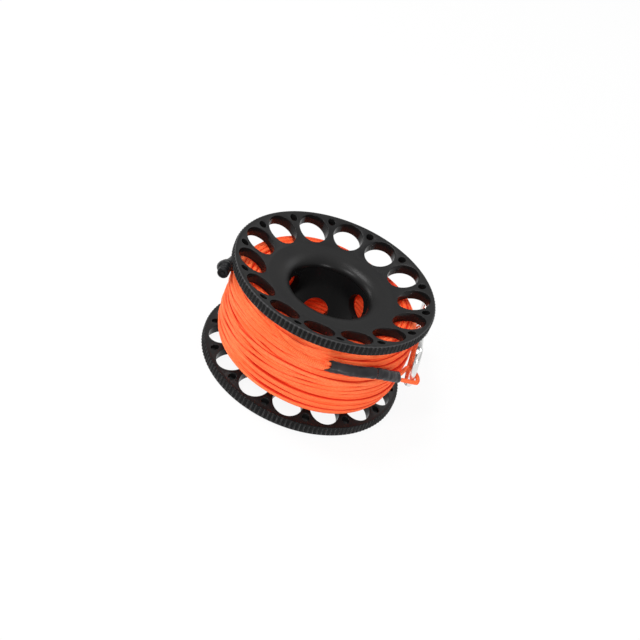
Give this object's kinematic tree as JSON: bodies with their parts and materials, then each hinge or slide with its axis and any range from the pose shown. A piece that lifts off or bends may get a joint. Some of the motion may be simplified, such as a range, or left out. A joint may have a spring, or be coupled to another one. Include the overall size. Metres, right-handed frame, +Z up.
{
  "type": "dive finger spool",
  "caption": "Finger spool for diving: dished pierced flanges on a hub tube, wound with orange line whose sleeved end loop holds a bolt snap.",
  "frame": {"origin": "on the spool's axis at the lower flange's standing face", "axes": "+Z up the spool's axis towards the upper flange; the line's sleeved end loop and its snap are on the +X side"},
  "size_m": [0.0964, 0.1016, 0.0505],
  "materials": {
    "black_anodised": "satin black anodised",
    "orange_line": "bright orange braided line",
    "black_sleeve": "matte heat-shrink tube",
    "stainless": "polished stainless steel",
    "black_rubber": "matte black rubber"
  },
  "bodies": {
    "spool": {"flange_upper": "black_anodised", "flange_lower": "black_anodised", "hub_tube": "black_anodised", "line_core": "orange_line", "line_outer_turns": "orange_line", "line_tail": "orange_line", "sleeve_long": "black_sleeve", "sleeve_short": "black_sleeve", "keeper_cord": "black_rubber", "keeper_cap": "black_rubber"},
    "snap": {"snap_body": "stainless", "snap_spring": "stainless"},
    "bolt": {"snap_bolt": "stainless", "snap_stud": "stainless"},
    "eye": {"snap_eye": "stainless"}
  },
  "joints": [
    {"name": "snap_swing", "type": "hinge", "parent": "spool", "child": "snap", "pos_m": [0.04705, -0.00516, 0.02746], "axis": [-0.15, 0.2152, 0.965], "range_deg": [-75, 0]},
    {"name": "bolt_slide", "type": "slide", "parent": "snap", "child": "bolt", "axis": [-0.1918, 0.9512, -0.2419], "range_m": [0, 0.0065], "stiffness_N_per_m": 150, "springref_m": -0.004, "deforming": ["snap_spring"]},
    {"name": "eye_swivel", "type": "hinge", "parent": "snap", "child": "eye", "pos_m": [0.03668, 0.04081, 0.02627], "axis": [-0.1918, 0.9512, -0.2419], "continuous": true}
  ]
}
